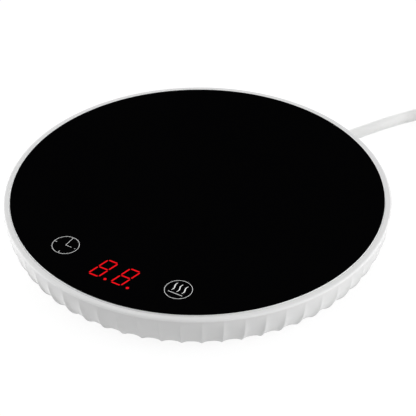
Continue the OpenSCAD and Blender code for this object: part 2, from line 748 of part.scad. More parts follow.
// Tongue that fills the lower half of the shell
module plug_insulator() color([0.95, 0.95, 0.95])
    at_plug(relief_l + grip_l) translate([-5.6, -1.9, 0]) cube([11.2, 1.8, 11.6]);

module plug_contacts() color([0.85, 0.7, 0.3])
    at_plug(relief_l + grip_l) for (x = [-3.5, -1, 1, 3.5]) translate([x - 0.5, -0.1, 2])
        cube([1, 0.2, 8.6]);

glass_plate();
glass_adhesive();
rim_ring();
fluted_tray();
rubber_feet();
housing_screws();
heat_spreader();
heating_film();
insulation_pad();
heater_retainer();
retainer_screws();
thermistor();
thermistor_leads();
thermal_cutoff();
heater_leads();
control_board();
board_screws();
display_light_box();
display_segments();
segment_leds();
touch_springs();
microcontroller();
heater_switch();
smoothing_capacitor();
buzzer();
power_leads();
cord_clamp();
clamp_screws();
strain_relief();
cord_tail();
cord();
cord_coil();
coil_tie();
plug_lead();
plug_grip();
plug_shell();
plug_insulator();
plug_contacts();
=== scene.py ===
"""Looks of an electric mug warmer: a black glass heating plate in a white fluted tray.

Sizes are written in millimetres and become metres in each piece's mesh. +Z is up, the front
with the digits is at -Y, and the lead leaves at the back, turned towards +X.
"""

import bmesh
import bpy
import numpy as np
from mathutils import Matrix, Quaternion, Vector


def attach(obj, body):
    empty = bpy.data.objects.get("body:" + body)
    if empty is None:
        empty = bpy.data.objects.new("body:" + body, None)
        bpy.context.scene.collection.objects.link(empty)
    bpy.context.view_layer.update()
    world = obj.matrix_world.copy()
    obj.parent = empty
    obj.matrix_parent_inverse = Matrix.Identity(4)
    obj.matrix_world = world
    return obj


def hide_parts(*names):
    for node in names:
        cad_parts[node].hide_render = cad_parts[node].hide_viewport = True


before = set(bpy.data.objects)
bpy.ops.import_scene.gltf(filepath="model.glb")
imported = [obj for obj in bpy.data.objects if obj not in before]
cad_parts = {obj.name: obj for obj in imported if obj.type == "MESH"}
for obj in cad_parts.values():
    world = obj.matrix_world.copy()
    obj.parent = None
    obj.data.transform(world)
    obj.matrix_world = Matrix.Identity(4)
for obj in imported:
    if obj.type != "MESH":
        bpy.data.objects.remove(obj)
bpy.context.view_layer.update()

# ---- Camera -------------------------------------------------------------------------------
# The photograph looks from the front right, 37 degrees down, through a long lens, with a
# quarter of a degree of roll.
mm = 0.001
camera_turn_deg, camera_fall_deg, camera_roll_deg = 31.65, 37.33, 0.26
turned, tilted, rolled = np.radians([camera_turn_deg, camera_fall_deg, camera_roll_deg])
sight = Vector((-np.sin(turned) * np.cos(tilted), np.cos(turned) * np.cos(tilted), -np.sin(tilted)))
camera_data = bpy.data.cameras.new("camera")
camera_data.sensor_width = 36
camera_data.lens = 149.64
camera_data.clip_start, camera_data.clip_end = 0.01, 20
camera = bpy.data.objects.new("camera", camera_data)
camera.rotation_mode = "QUATERNION"
camera.location = Vector((236.5, -377.2, 349.3)) * mm
camera.rotation_quaternion = sight.to_track_quat("-Z", "Y") @ Quaternion((0, 0, 1), -rolled)
bpy.context.scene.collection.objects.link(camera)
bpy.context.scene.camera = camera

# ---- Supply lead --------------------------------------------------------------------------
# A round white two-core lead with a smooth soft jacket, 1.2 m long. It leaves the back of the
# tray, drops to the table and runs out of the picture; the rest is wound into a tied coil and
# ends in the plug.
lead_d = 4.0
lead_exit = np.array([20.396, 62.771, 6.9])
plug_at = (91.5, 56, 4)
lead_points = np.array([lead_exit, [21.5, 66.1, 6.75], [23.7, 72.4, 6], [25.6, 78.1, 5.1],
                        [27.8, 84, 4.2], [30.2, 89.8, 3.3], [32.8, 95.2, 2.5],
                        [35.9, 100.4, 2.2], [39.6, 105.6, 2.5]])
plug_points = np.array([[91.5, 88, 14], [91.5, 82, 12.3], [91.5, 76, 9.4], [91.5, 70, 6.4],
                        [91.5, 64, 4.5], [91.5, 60, 4.1], plug_at])
coil_centre = np.array([66.0, 98.0])
coil_inner, coil_outer, coil_low = 21.5, 25.5, 2.5
coil_start_deg, coil_sweep_deg = 142.0, 2662.0
# The coil's turns lie in two rings and four layers: each step leads to the other ring or up.
steps_outward, steps_upward = np.array([-1, 0, 1, 0, -1, 0, 1]), np.array([0, 1, 0, 1, 0, 1, 0])
step_deg, step_earlier_deg = 60, 26
lead_rings, nearest = 560, 0.4


def through(points, per_step):
    """Catmull-Rom curve through the points: each step is the cubic whose slope at a point is
    half the way between that point's neighbours. The ends repeat their own point."""
    p = np.vstack([points[:1], points, points[-1:]])
    a, b, c, d = (p[i:len(p) - 3 + i, None, :] for i in range(4))
    t = (np.arange(per_step) / per_step)[None, :, None]
    curve = 0.5 * (2 * b + (c - a) * t + (2 * a - 5 * b + 4 * c - d) * t**2
                   + (3 * b - a - 3 * c + d) * t**3)
    return np.vstack([curve.reshape(-1, 3), points[-1]])


def coil_turns(per_turn=72):
    """Clockwise turns about the coil's centre. Towards the end of each turn the lead moves over
    by its own thickness, inward, outward or up, eased as half a cosine. Each move comes a
    little earlier in its turn than the last, so that no turn crosses through another."""
    travel = np.linspace(0, coil_sweep_deg, int(coil_sweep_deg / 360 * per_turn))
    moves = np.arange(len(steps_upward))
    ends = 360 * (moves + 1) - step_earlier_deg * moves
    moved = (1 - np.cos(np.pi * np.clip((travel[:, None] - ends + step_deg) / step_deg, 0, 1))) / 2
    radius = coil_outer + moved @ (steps_outward * (coil_outer - coil_inner))
    height = coil_low + moved @ (steps_upward * lead_d)
    angle = np.radians(coil_start_deg - travel)
    return np.stack([coil_centre[0] + radius * np.cos(angle),
                     coil_centre[1] + radius * np.sin(angle), height], 1)


def swept(path, radius, around=20):
    """Tube: rings about each point of the path, each in the plane of the path's sideways and
    upright normals, with a last ring of no size at both ends that closes the caps."""
    ahead = np.gradient(path, axis=0)
    ahead /= np.linalg.norm(ahead, axis=1, keepdims=True)
    sideways = np.cross(ahead, [0, 0, 1])
    sideways /= np.linalg.norm(sideways, axis=1, keepdims=True)
    upright = np.cross(sideways, ahead)
    angle = np.arange(around) * 2 * np.pi / around
    r = np.broadcast_to(radius, len(path))[:, None, None]
    rings = path[:, None] + r * (np.cos(angle)[None, :, None] * sideways[:, None]
                                 + np.sin(angle)[None, :, None] * upright[:, None])
    ends = [np.repeat(path[i][None, None], around, 1) for i in (0, -1)]
    return np.concatenate([ends[0], rings, ends[1]])


def piece(name, shells, material, stands_for=(), sharp_deg=30.0, body="root"):
    """One mesh from several grids of points (row, column, xyz) in millimetres. Each grid's
    columns close on themselves; rows of no size become poles when doubles are merged. Its map
    has u once round the columns, and v in centimetres along the rows."""
    points, faces, uvs, base = [], [], [], 0
    for grid in shells:
        rows, columns = grid.shape[:2]
        index = base + np.arange(rows * columns).reshape(rows, columns)
        right = np.roll(index, -1, axis=1)
        faces.append(np.stack([index[:-1], right[:-1], right[1:], index[1:]], -1).reshape(-1, 4))
        near = np.arange(columns)
        u = np.stack([near, near + 1, near + 1, near], -1)[None] / columns
        row_step = np.linalg.norm(np.diff(grid, axis=0), axis=2).mean(1)
        run = np.concatenate([[0], np.cumsum(row_step)])
        v = np.stack([run[:-1], run[:-1], run[1:], run[1:]], -1)[:, None] / 10
        corners = (rows - 1, columns, 4)
        uvs.append(np.stack([np.broadcast_to(u, corners), np.broadcast_to(v, corners)], -1)
                   .reshape(-1, 2))
        points.append(grid.reshape(-1, 3))
        base += rows * columns
    mesh = bpy.data.meshes.new(name)
    mesh.from_pydata((np.vstack(points) * mm).tolist(), [], np.vstack(faces).tolist())
    flat_uvs = np.vstack(uvs).astype(np.float32).ravel()
    mesh.uv_layers.new(name="along").data.foreach_set("uv", flat_uvs)
    shape = bmesh.new()
    shape.from_mesh(mesh)
    bmesh.ops.remove_doubles(shape, verts=shape.verts, dist=1e-7)
    bmesh.ops.dissolve_degenerate(shape, edges=shape.edges, dist=1e-8)
    bmesh.ops.recalc_face_normals(shape, faces=shape.faces)
    shape.to_mesh(mesh)
    shape.free()
    mesh.shade_smooth()
    mesh.set_sharp_from_angle(angle=np.radians(sharp_deg))
    mesh.materials.append(material)
    made = bpy.data.objects.new(name, mesh)
    bpy.context.scene.collection.objects.link(made)
    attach(made, body)
    if stands_for:
        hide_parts(*stands_for)
    return made


def moulded_surface():
    """Shader group for moulded skins: two noises on object coordinates give a fine grain for
    the normal, and a slow drift that tints the colour and changes the roughness a little."""
    group = bpy.data.node_groups.new("moulded surface", "ShaderNodeTree")
    number, colour, vector = "NodeSocketFloat", "NodeSocketColor", "NodeSocketVector"
    for label, kind, value in (("Colour", colour, (0.8, 0.8, 0.8, 1)), ("Roughness", number, 0.4),
                               ("Grain per metre", number, 4000.0), ("Depth", number, 0.00002),
                               ("Drift", number, 0.03)):
        group.interface.new_socket(label, in_out="INPUT", socket_type=kind).default_value = value
    for label, kind in (("Colour", colour), ("Roughness", number), ("Normal", vector)):
        group.interface.new_socket(label, in_out="OUTPUT", socket_type=kind)
    new, link = group.nodes.new, group.links.new
    given, out = new("NodeGroupInput"), new("NodeGroupOutput")
    place = new("ShaderNodeTexCoord")
    grain, drift = new("ShaderNodeTexNoise"), new("ShaderNodeTexNoise")
    grain.inputs["Detail"].default_value = 3
    drift.inputs["Scale"].default_value = 60
    drift.inputs["Detail"].default_value = 2
    link(given.outputs["Grain per metre"], grain.inputs["Scale"])
    for noise in (grain, drift):
        link(place.outputs["Object"], noise.inputs["Vector"])
    bump = new("ShaderNodeBump")
    bump.inputs["Strength"].default_value = 1
    link(grain.outputs["Fac"], bump.inputs["Height"])
    link(given.outputs["Depth"], bump.inputs["Distance"])
    span = new("ShaderNodeMapRange")
    link(drift.outputs["Fac"], span.inputs["Value"])
    span.inputs["From Min"].default_value, span.inputs["From Max"].default_value = 0.3, 0.7
    less = new("ShaderNodeMath")
    less.operation = "SUBTRACT"
    less.inputs[0].default_value = 1
    link(given.outputs["Drift"], less.inputs[1])
    link(less.outputs[0], span.inputs["To Min"])
    span.inputs["To Max"].default_value = 1
    tint, rough = new("ShaderNodeVectorMath"), new("ShaderNodeMath")
    tint.operation = "SCALE"
    link(given.outputs["Colour"], tint.inputs[0])
    link(span.outputs["Result"], tint.inputs["Scale"])
    rough.operation = "DIVIDE"
    link(given.outputs["Roughness"], rough.inputs[0])
    link(span.outputs["Result"], rough.inputs[1])
    link(tint.outputs["Vector"], out.inputs["Colour"])
    link(rough.outputs[0], out.inputs["Roughness"])
    link(bump.outputs["Normal"], out.inputs["Normal"])
    return group


moulded = moulded_surface()


def finish_of(name, colour, roughness, grain=4000.0, depth=0.00002, drift=0.03, **sockets):
    """Material: the moulded-surface group feeds colour, roughness and normal, and everything
    that is the same all over stands on the shader's own sockets."""
    material = bpy.data.materials.new(name)
    material.use_nodes = True
    nodes, links = material.node_tree.nodes, material.node_tree.links
    shader = nodes["Principled BSDF"]
    skin = nodes.new("ShaderNodeGroup")
    skin.node_tree = moulded
    skin.inputs["Colour"].default_value = (*colour, 1)
    skin.inputs["Roughness"].default_value = roughness
    skin.inputs["Grain per metre"].default_value = grain
    skin.inputs["Depth"].default_value = depth
    skin.inputs["Drift"].default_value = drift
    links.new(skin.outputs["Colour"], shader.inputs["Base Color"])
    links.new(skin.outputs["Roughness"], shader.inputs["Roughness"])
    links.new(skin.outputs["Normal"], shader.inputs["Normal"])
    for socket, value in sockets.items():
        shader.inputs[socket.replace("_", " ")].default_value = value
    return material


jacket = finish_of("soft white jacket", (0.92, 0.92, 0.915), 0.42, grain=2500, depth=0.00001,
                   drift=0.02)
route = np.vstack([through(lead_points, 8), coil_turns(), through(plug_points, 8)])
# Points that nearly repeat are dropped where the parts meet, and the rest is spaced evenly.
apart = np.linalg.norm(np.diff(route, axis=0), axis=1) > nearest
route = route[np.concatenate([[True], apart])]
run = np.concatenate([[0], np.cumsum(np.linalg.norm(np.diff(route, axis=0), axis=1))])
lead_length = run[-1]
even_run = np.linspace(0, lead_length, lead_rings)
route = np.stack([np.interp(even_run, run, route[:, axis]) for axis in range(3)], 1)
lead = piece("supply_lead", [swept(route, lead_d / 2)], jacket,
             ["cord", "cord_coil", "plug_lead"], sharp_deg=60)

# ---- Glass plate --------------------------------------------------------------------------
# Round plate of hardened glass, printed black on its underside, with ground and polished
# edges. It is the heating surface and the control panel in one; the print ends just inside
# the ground edge.
glass_r, print_r, glass_low, glass_top = 60.22, 60.12, 13.0, 16.0


def rounded(corners, radii, steps=6):
    """A line through the corners, in which each corner with a radius becomes an arc that
    touches both sides: its centre lies on the corner's bisector."""
    line = []
    for i, (corner, radius) in enumerate(zip(corners, radii)):
        corner = np.array(corner, float)
        if not radius:
            line.append(corner[None])
            continue
        before = np.array(corners[i - 1], float) - corner
        after = np.array(corners[(i + 1) % len(corners)], float) - corner
        before, after = before / np.linalg.norm(before), after / np.linalg.norm(after)
        half = np.arccos(np.clip(before @ after, -1, 1)) / 2
        middle = corner + (before + after) / np.linalg.norm(before + after) * radius / np.sin(half)
        start, end = (corner + side * radius / np.tan(half) - middle for side in (before, after))
        turn = np.pi - 2 * half
        t = np.linspace(0, 1, steps + 1)[:, None]
        arc = (np.sin((1 - t) * turn) * start + np.sin(t * turn) * end) / np.sin(turn)
        line.append(middle + arc)
    return np.vstack(line)


def lathed(profile, around=192, place=None):
    """Surface of revolution: the profile's (radius, height) points turned about the z axis,
    and then placed by a matrix."""
    angle = np.arange(around) * 2 * np.pi / around
    r, z = profile[:, :1], profile[:, 1:]
    grid = np.stack([r * np.cos(angle), r * np.sin(angle), z + 0 * angle], -1)
    if place is not None:
        m = np.array(place)
        grid = grid @ m[:3, :3].T + m[:3, 3]
    return grid


def black_glass():
    """Opaque black print seen through clear polished glass: a nearly black base, a sharp
    dielectric reflection, and a faint film of wiping marks in the roughness."""
    material = bpy.data.materials.new("black glass")
    material.use_nodes = True
    nodes, links = material.node_tree.nodes, material.node_tree.links
    shader = nodes["Principled BSDF"]
    shader.inputs["Base Color"].default_value = (0.0012, 0.0012, 0.0014, 1)
    shader.inputs["IOR"].default_value = 1.5
    place, stretch, smear, span = (nodes.new("ShaderNode" + kind)
                                   for kind in ("TexCoord", "Mapping", "TexNoise", "MapRange"))
    stretch.inputs["Scale"].default_value = (18, 70, 1)
    stretch.inputs["Rotation"].default_value = (0, 0, 0.6)
    smear.inputs["Scale"].default_value = 1
    smear.inputs["Detail"].default_value = 5
    span.inputs["From Min"].default_value, span.inputs["From Max"].default_value = 0.35, 0.75
    span.inputs["To Min"].default_value, span.inputs["To Max"].default_value = 0.03, 0.07
    links.new(place.outputs["Object"], stretch.inputs["Vector"])
    links.new(stretch.outputs["Vector"], smear.inputs["Vector"])
    links.new(smear.outputs["Fac"], span.inputs["Value"])
    links.new(span.outputs["Result"], shader.inputs["Roughness"])
    return material


print_line = rounded([(0, glass_low), (print_r, glass_low), (print_r, glass_top), (0, glass_top)],
                     [0, 0.1, 0.05, 0])
piece("glass_top", [lathed(print_line, 256)], black_glass(), ["glass_plate"],
      sharp_deg=50)
# The ground edge is painted a near-white that is partly the frosted glass edge's own colour and
# partly a painted highlight, the bright line all round the plate.
ground_edge_and_highlight = finish_of("ground glass edge and painted highlight", (0.9, 0.91, 0.91), 0.3, grain=12000, depth=0.000004,
                        drift=0.05)
edge_line = rounded([(print_r, glass_low), (glass_r, glass_low),
                     (glass_r, glass_top), (print_r, glass_top)], [0, 0.08, 0.08, 0])
edge_line = np.vstack([edge_line, edge_line[:1]])
piece("glass_edge", [lathed(edge_line, 256)], ground_edge_and_highlight, ["glass_plate"],
      sharp_deg=50)

# ---- Printed keys -------------------------------------------------------------------------
# Two touch keys printed in light grey on the glass: a clock for the timer, and steam over a
# hot plate for the heat. The lines are about a seventh of a millimetre wide.
ink_low, ink_top = glass_top - 0.02, glass_top + 0.02
clock_at, heat_at = np.array([-20.6, -44.1]), np.array([20.65, -44.1])
key_r, line_w = 4.24, 0.14


def ribbon(points, half_width, closed=False):
    """Flat strip along points in the plane: each point's cross-section is a rectangle as wide
    as the line there, from just inside the glass to just above it. Open strips get round ends."""
    points = np.array(points, float)
    w = np.broadcast_to(half_width, len(points)).astype(float)
    if not closed:
        cap = np.linspace(0, 1, 5)[:-1]
        ahead = [points[0] - points[1], points[-1] - points[-2]]
        ahead = [a / np.linalg.norm(a) for a in ahead]
        reach = np.sqrt(1 - cap**2)
        points = np.vstack([points[0] + ahead[0] * (reach * w[0])[:, None], points,
                            points[-1] + ahead[1] * (reach[::-1] * w[-1])[:, None]])
        w = np.concatenate([cap * w[0], w, cap[::-1] * w[-1]])
        slope = np.gradient(points, axis=0)
    else:
        slope = np.roll(points, -1, 0) - np.roll(points, 1, 0)
    slope /= np.linalg.norm(slope, axis=1, keepdims=True)
    side = np.stack([-slope[:, 1], slope[:, 0]], 1) * w[:, None]
    left, right = points + side, points - side
    z = np.ones((len(points), 1))
    strip = np.stack([np.hstack([left, z * ink_low]), np.hstack([right, z * ink_low]),
                      np.hstack([right, z * ink_top]), np.hstack([left, z * ink_top])], 1)
    return np.concatenate([strip, strip[:1]]) if closed else strip


def circle(centre, radius, count=72):
    """Points of a circle in the plane."""
    angle = np.arange(count) * 2 * np.pi / count
    return np.array(centre) + radius * np.stack([np.cos(angle), np.sin(angle)], 1)


half = line_w / 2
minute_hand, hour_hand = [[0, key_r], [0, 2], [0, 0]], [[0, 0], [1, 0], [2.1, 0]]
ticks = [[[3.55, 0], [3.35, 0]], [[-key_r, 0], [-3.25, 0]], [[0, -key_r], [0, -3.25]]]
clock = [ribbon(circle(clock_at, key_r), half, closed=True)]
clock += [ribbon(clock_at + stroke, half) for stroke in (minute_hand, hour_hand, *ticks)]
hot_plate = [[-2.3, -2.0], [0, -2.0], [2.5, -2.0]]
heat = [ribbon(circle(heat_at, key_r), half, closed=True), ribbon(heat_at + hot_plate, half * 1.4)]
# Each line of steam sways once and is thickest in its middle.
rise = np.linspace(0, 1, 15)
steam_low, steam_h, sway = -1.1, 3.7, 0.24
steam_half = 0.07 + 0.11 * np.sin(np.pi * rise)
steam = [ribbon(heat_at + np.stack([x + sway * np.sin(2 * np.pi * rise),
                                    steam_low + steam_h * rise], 1), steam_half)
         for x in (-1.75, 0.05, 1.85)]
inks = ("light grey screen print", 0.86), ("white screen print", 0.96)
ink, bright_ink = (finish_of(name, (grey, grey, grey), 0.5, grain=9000, depth=0.000004)
                   for name, grey in inks)
piece("clock_key_print", clock, ink)
piece("heat_key_print", heat, ink)
piece("heat_key_steam", steam, bright_ink)

# ---- Lit digits ---------------------------------------------------------------------------
# Two seven-bar digits with points, lit red from below. They show through windows that the
# black print leaves open, so the light stands in the plane of the glass.
digits_at, digit_pitch, digit_lean_deg = np.array([-0.2, -47.4, 0]), 8.1, 12.0
digit_h, digit_w, bar_w, bar_gap = 8.2, 3.6, 0.5, 0.22
dot_r, dot_offset = 0.5, np.array([1.5, 0.1])


def bar_shape(start, end):
    """One bar: a strip whose width is nothing at both tips and full between them, so its
    outline has six corners. It leans as its height above the digit's middle."""
    start, end = np.array(start, float), np.array(end, float)
    along = (end - start) / np.linalg.norm(end - start)
    a, b = start + along * bar_gap, end - along * bar_gap
    points = np.stack([a, a + along * bar_w / 2, b - along * bar_w / 2, b])
    w = np.array([0, 0.5, 0.5, 0])[:, None] * bar_w
    side = np.array([-along[1], along[0]]) * w
    strip = np.stack([points + side, points - side, points - side, points + side], 1)
    strip[..., 0] += strip[..., 1] * np.tan(np.radians(digit_lean_deg))
    z = np.broadcast_to(np.array([ink_low, ink_low, ink_top, ink_top])[None, :, None], (4, 4, 1))
    return np.concatenate([strip, z], 2)


def dot_shape(centre, count=24):
    """A point: a flat round tablet with a hub of no size on both faces."""
    edge = circle(centre, dot_r, count)
    hub = np.broadcast_to(edge.mean(0), edge.shape)
    return np.stack([np.hstack([line, np.full((count, 1), z)]) for line, z in (
        (hub, ink_low), (edge, ink_low), (edge, ink_top), (hub, ink_top))])


glow = bpy.data.materials.new("red light through the print")
glow.use_nodes = True
nodes, links = glow.node_tree.nodes, glow.node_tree.links
shader = nodes["Principled BSDF"]
shader.inputs["Base Color"].default_value = (0.02, 0.0005, 0.0005, 1)
shader.inputs["Roughness"].default_value = 0.2
shader.inputs["Specular IOR Level"].default_value = 0.0
shader.inputs["Emission Strength"].default_value = 1.0
place, mottle, reds = (nodes.new("ShaderNode" + kind)
                       for kind in ("TexCoord", "TexNoise", "ValToRGB"))
mottle.inputs["Scale"].default_value = 400
reds.color_ramp.elements[0].color = (0.8, 0.005, 0.009, 1)
reds.color_ramp.elements[1].color = (0.92, 0.008, 0.014, 1)
links.new(place.outputs["Object"], mottle.inputs["Vector"])
links.new(mottle.outputs["Fac"], reds.inputs["Fac"])
links.new(reds.outputs["Color"], shader.inputs["Emission Color"])
w, h = digit_w / 2, digit_h / 2
bars = [((-w, h), (w, h)), ((-w, 0), (w, 0)), ((-w, -h), (w, -h)),
        ((-w, 0), (-w, h)), ((w, 0), (w, h)), ((-w, -h), (-w, 0)), ((w, -h), (w, 0))]
lit = []
for x in (-digit_pitch / 2, digit_pitch / 2):
    middle = digits_at + [x, 0, 0]
    lit += [bar_shape(*bar) + middle for bar in bars]
    lit.append(dot_shape(middle[:2] + [w, -h] + dot_offset))
piece("lit_digits", lit, glow)

# ---- Rim ring -----------------------------------------------------------------------------
# White moulded ring round the glass, satin, with a rounded outer edge. A thin lip reaches
# down inside the tray, a ledge carries the glass, and four posts take the housing screws.
rim_r, rim_top, recess_r, joint_z = 62.3, 15.7, 60.3, 14.95
lip_r, lip_low = 61.0, 11.75
ledge_r, ledge_outer_r, ledge_top, ledge_low = 54.8, 59.3, 12.6, 11.1
post_r, post_low, post_h, post_out, post_bore = 50.975, 5.1, 6, 2.8, 1.25
post_turns = np.radians([45, 135, 225, 315])


def at_turn(radius, turn, z=0.0):
    """The place at a radius from the body's axis, turned from +X."""
    return Matrix.Translation((radius * np.cos(turn), radius * np.sin(turn), z))


white_satin = finish_of("satin white plastic", (0.84, 0.84, 0.84), 0.26, grain=3000, depth=0.000005,
                        drift=0.02)
rim_line = rounded([(rim_r, joint_z), (rim_r, rim_top), (recess_r, rim_top), (recess_r, ledge_top),
                    (ledge_r, ledge_top), (ledge_r, ledge_low), (ledge_outer_r, ledge_low),
                    (ledge_outer_r, lip_low), (lip_r, lip_low), (lip_r, joint_z)],
                   [0.1, 0.6, 0.1, 0, 0.2, 0.2, 0.1, 0.1, 0.15, 0])
post_line = np.array([(post_out, 0), (post_out, post_h), (post_bore, post_h), (post_bore, 0),
                      (post_out, 0)])
rim_shells = [lathed(np.vstack([rim_line, rim_line[:1]]), 320)]
rim_shells += [lathed(post_line, 32, at_turn(post_r, turn, post_low)) for turn in post_turns]
piece("rim", rim_shells, white_satin, ["rim_ring"], sharp_deg=50)

# ---- Fluted tray --------------------------------------------------------------------------
# The base: a round bowl moulded in matt white. Its side curves in towards the floor and is cut
# by sixty hollow flutes, deeper towards the bottom, that meet in crisp ridges.
skirt_top_r, straight_low, floor_z, floor_top = 62.1, 14.4, 1.5, 3.1
side_in, side_close, wall, floor_band, tray_sharp_deg = 8.9, 0.6, 2.2, 1.2, 40
flutes, flute_depth, flute_growth, ridge_soft_deg = 60, 1.0, 0.9, 0.1
seat_r, seat_low = 61.15, 11.6
foot_r, foot_d, foot_top, foot_turns = 47.075, 9.0, 2.2, np.radians([0, 90, 180, 270])
foot_play, well_r, well_top, below_floor = 0.2, 2.5, 3.0, 0.5
lead_turn, hole_r, hole_start, hole_end = np.radians(72), 2.9, 54, 66
skirt_h = joint_z - floor_z
flute_deg = 360 / flutes


def ridge_radius(z):
    """Quarter ellipse under a short straight part: upright at the top, drawn in towards the
    floor."""
    down = np.maximum(straight_low - z, 0) / (straight_low - floor_z + side_close)
    return skirt_top_r - side_in * (1 - np.sqrt(1 - down ** 2))


def flute_dip(angle_deg, z):
    """How far the surface lies inside the ridges: the flute's depth at that height, times one
    less the cube of the way from its middle to a ridge, so that the flute is flat in its middle
    and steep beside the ridges. The ridge itself is eased over a tenth of a degree."""
    from_ridge = flute_deg / 2 - np.abs((angle_deg + flute_deg) % flute_deg - flute_deg / 2)
    eased = np.sqrt(from_ridge**2 + ridge_soft_deg**2) - ridge_soft_deg
    across = 1 - (1 - eased / (flute_deg / 2)) ** 3
    return flute_depth * ((joint_z - z) / skirt_h) ** flute_growth * across


def plain_line(radius, low, top):
    """Profile of a plain cylinder."""
    return np.array([(0, low), (radius, low), (radius, top), (0, top)])


def cut_from(target, cutter_shells):
    """Takes closed shells away from a piece, and keeps the result as its mesh."""
    cutter = piece("cutter", cutter_shells, white_matt)
    modifier = target.modifiers.new("cut", "BOOLEAN")
    modifier.operation, modifier.object, modifier.solver = "DIFFERENCE", cutter, "EXACT"
    result = target.evaluated_get(bpy.context.evaluated_depsgraph_get())
    done = bpy.data.meshes.new_from_object(result)
    done.set_sharp_from_angle(angle=np.radians(tray_sharp_deg))
    target.modifiers.clear()
    target.data = done
    bpy.data.objects.remove(cutter)


# The columns crowd towards the ridges, and the rows towards the joint.
fan = flute_deg / 2 * np.array([-1, -0.96, -0.9, -0.8, -0.68, -0.52, -0.3,
                                0, 0.3, 0.52, 0.68, 0.8, 0.9, 0.96])
angles = (np.arange(flutes)[:, None] * flute_deg + fan).ravel() - 90
skirt_z = joint_z - skirt_h * (1 - np.cos(np.linspace(0, np.pi / 2, 26))) ** 0.8
skirt_z[0], skirt_z[-1] = joint_z, floor_z
dips = flute_dip(angles[None] + 90 + flute_deg / 2, skirt_z[:, None])
outside = ridge_radius(skirt_z)[:, None] - dips
inner_z = np.linspace(floor_top, seat_low, 7)
inside = np.vstack([[(0, floor_top)], np.stack([ridge_radius(inner_z) - wall, inner_z], 1),
                    [(seat_r, seat_low), (seat_r, joint_z - 0.1), (seat_r + 0.1, joint_z)]])
grid_r = np.vstack([np.repeat(inside[:, :1], len(angles), 1), outside,
                    outside[-1:] - floor_band, outside[-1:] * 0])
grid_z = np.concatenate([inside[:, 1], skirt_z, [floor_z, floor_z]])
turn = np.radians(angles)
tray_grid = np.stack([grid_r * np.cos(turn), grid_r * np.sin(turn),
                      np.repeat(grid_z[:, None], len(angles), 1)], -1)
white_matt = finish_of("matt white plastic", (0.735, 0.735, 0.735), 0.45, grain=3500, depth=0.00001,
                       drift=0.025)
tray = piece("tray", [tray_grid], white_matt, ["fluted_tray"], tray_sharp_deg)
# Seats of the feet, wells of the screw heads, and the hole for the lead's sleeve
out_along = (Matrix.Rotation(lead_turn, 4, "Z") @ Matrix.Translation((0, 0, lead_exit[2]))
             @ Matrix.Rotation(np.pi / 2, 4, "Y"))
seat_line = plain_line(foot_d / 2 + foot_play, below_floor, foot_top)
well_line = plain_line(well_r, below_floor, well_top)
cutters = [lathed(seat_line, 48, at_turn(foot_r, turn)) for turn in foot_turns]
cutters += [lathed(well_line, 48, at_turn(post_r, turn)) for turn in post_turns]
cutters.append(lathed(plain_line(hole_r, hole_start, hole_end), 64, out_along))
cut_from(tray, cutters)

# ---- Strain relief ------------------------------------------------------------------------
# Soft sleeve moulded onto the lead where it passes the wall: a flange holds it inside, and
# outside it tapers to the jacket. Its line is given along the lead, from the body's axis.
flange_start, flange_end, taper_start, sleeve_end = 54.66, 56.06, 62.5, 66.0
flange_r, sleeve_r, tip_r = 3.5, 2.8, 2.4
sleeve_line = rounded([(0, flange_start), (flange_r, flange_start), (flange_r, flange_end),
                       (sleeve_r, flange_end), (sleeve_r, taper_start), (tip_r, sleeve_end),
                       (0, sleeve_end)], [0, 0.2, 0.2, 0, 0.6, 0.35, 0])
piece("lead_sleeve", [lathed(sleeve_line, 64, out_along)], jacket, ["strain_relief"],
      sharp_deg=50)

# ---- Rubber feet --------------------------------------------------------------------------
# Four round pads of soft grey rubber, glued into seats in the floor, with a rounded wearing
# edge.
grey_rubber = finish_of("grey rubber", (0.55, 0.55, 0.55), 0.75, grain=2500, depth=0.00004,
                        drift=0.08)
foot_line = rounded(plain_line(foot_d / 2, 0, foot_top), [0, 0.4, 0.1, 0])
piece("feet", [lathed(foot_line, 64, at_turn(foot_r, turn)) for turn in foot_turns], grey_rubber,
      ["rubber_feet"], sharp_deg=50)

# ---- Pieces kept from the model -----------------------------------------------------------
# Everything inside, the screws, the tie and the plug's metal keep their modelled shape and
# get a finish each.
steel = finish_of("zinc plated steel", (0.62, 0.62, 0.63), 0.32, grain=6000, depth=0.000004,
                  drift=0.1, Metallic=1.0)
aluminium = finish_of("rolled aluminium", (0.78, 0.79, 0.8), 0.36, grain=1500, depth=0.000006,
                      drift=0.08, Metallic=1.0)
film = finish_of("amber film", (0.5, 0.24, 0.05), 0.25, drift=0.25)
felt = finish_of("fibre felt", (0.8, 0.78, 0.7), 0.9, grain=1800, depth=0.0002, drift=0.1)
board = finish_of("green solder mask", (0.015, 0.16, 0.06), 0.3, grain=1500, drift=0.15)
black_part = finish_of("black moulded plastic", (0.02, 0.02, 0.021), 0.5, grain=5000, depth=0.00001,
                       drift=0.1)
white_part = finish_of("white moulded plastic", (0.8, 0.8, 0.79), 0.5, grain=4000, depth=0.00001)
red_wire = finish_of("red insulation", (0.55, 0.02, 0.02), 0.4)
black_wire = finish_of("black insulation", (0.02, 0.02, 0.02), 0.4)
spring = finish_of("spring steel", (0.6, 0.58, 0.52), 0.25, Metallic=1.0)
red_bar = finish_of("red diffuser", (0.7, 0.03, 0.03), 0.4)
chip_face = finish_of("pale diode resin", (0.85, 0.8, 0.6), 0.35)
seal = finish_of("dark silicone", (0.06, 0.06, 0.06), 0.6)
gold = finish_of("gold plate", (0.9, 0.65, 0.25), 0.22, Metallic=1.0)
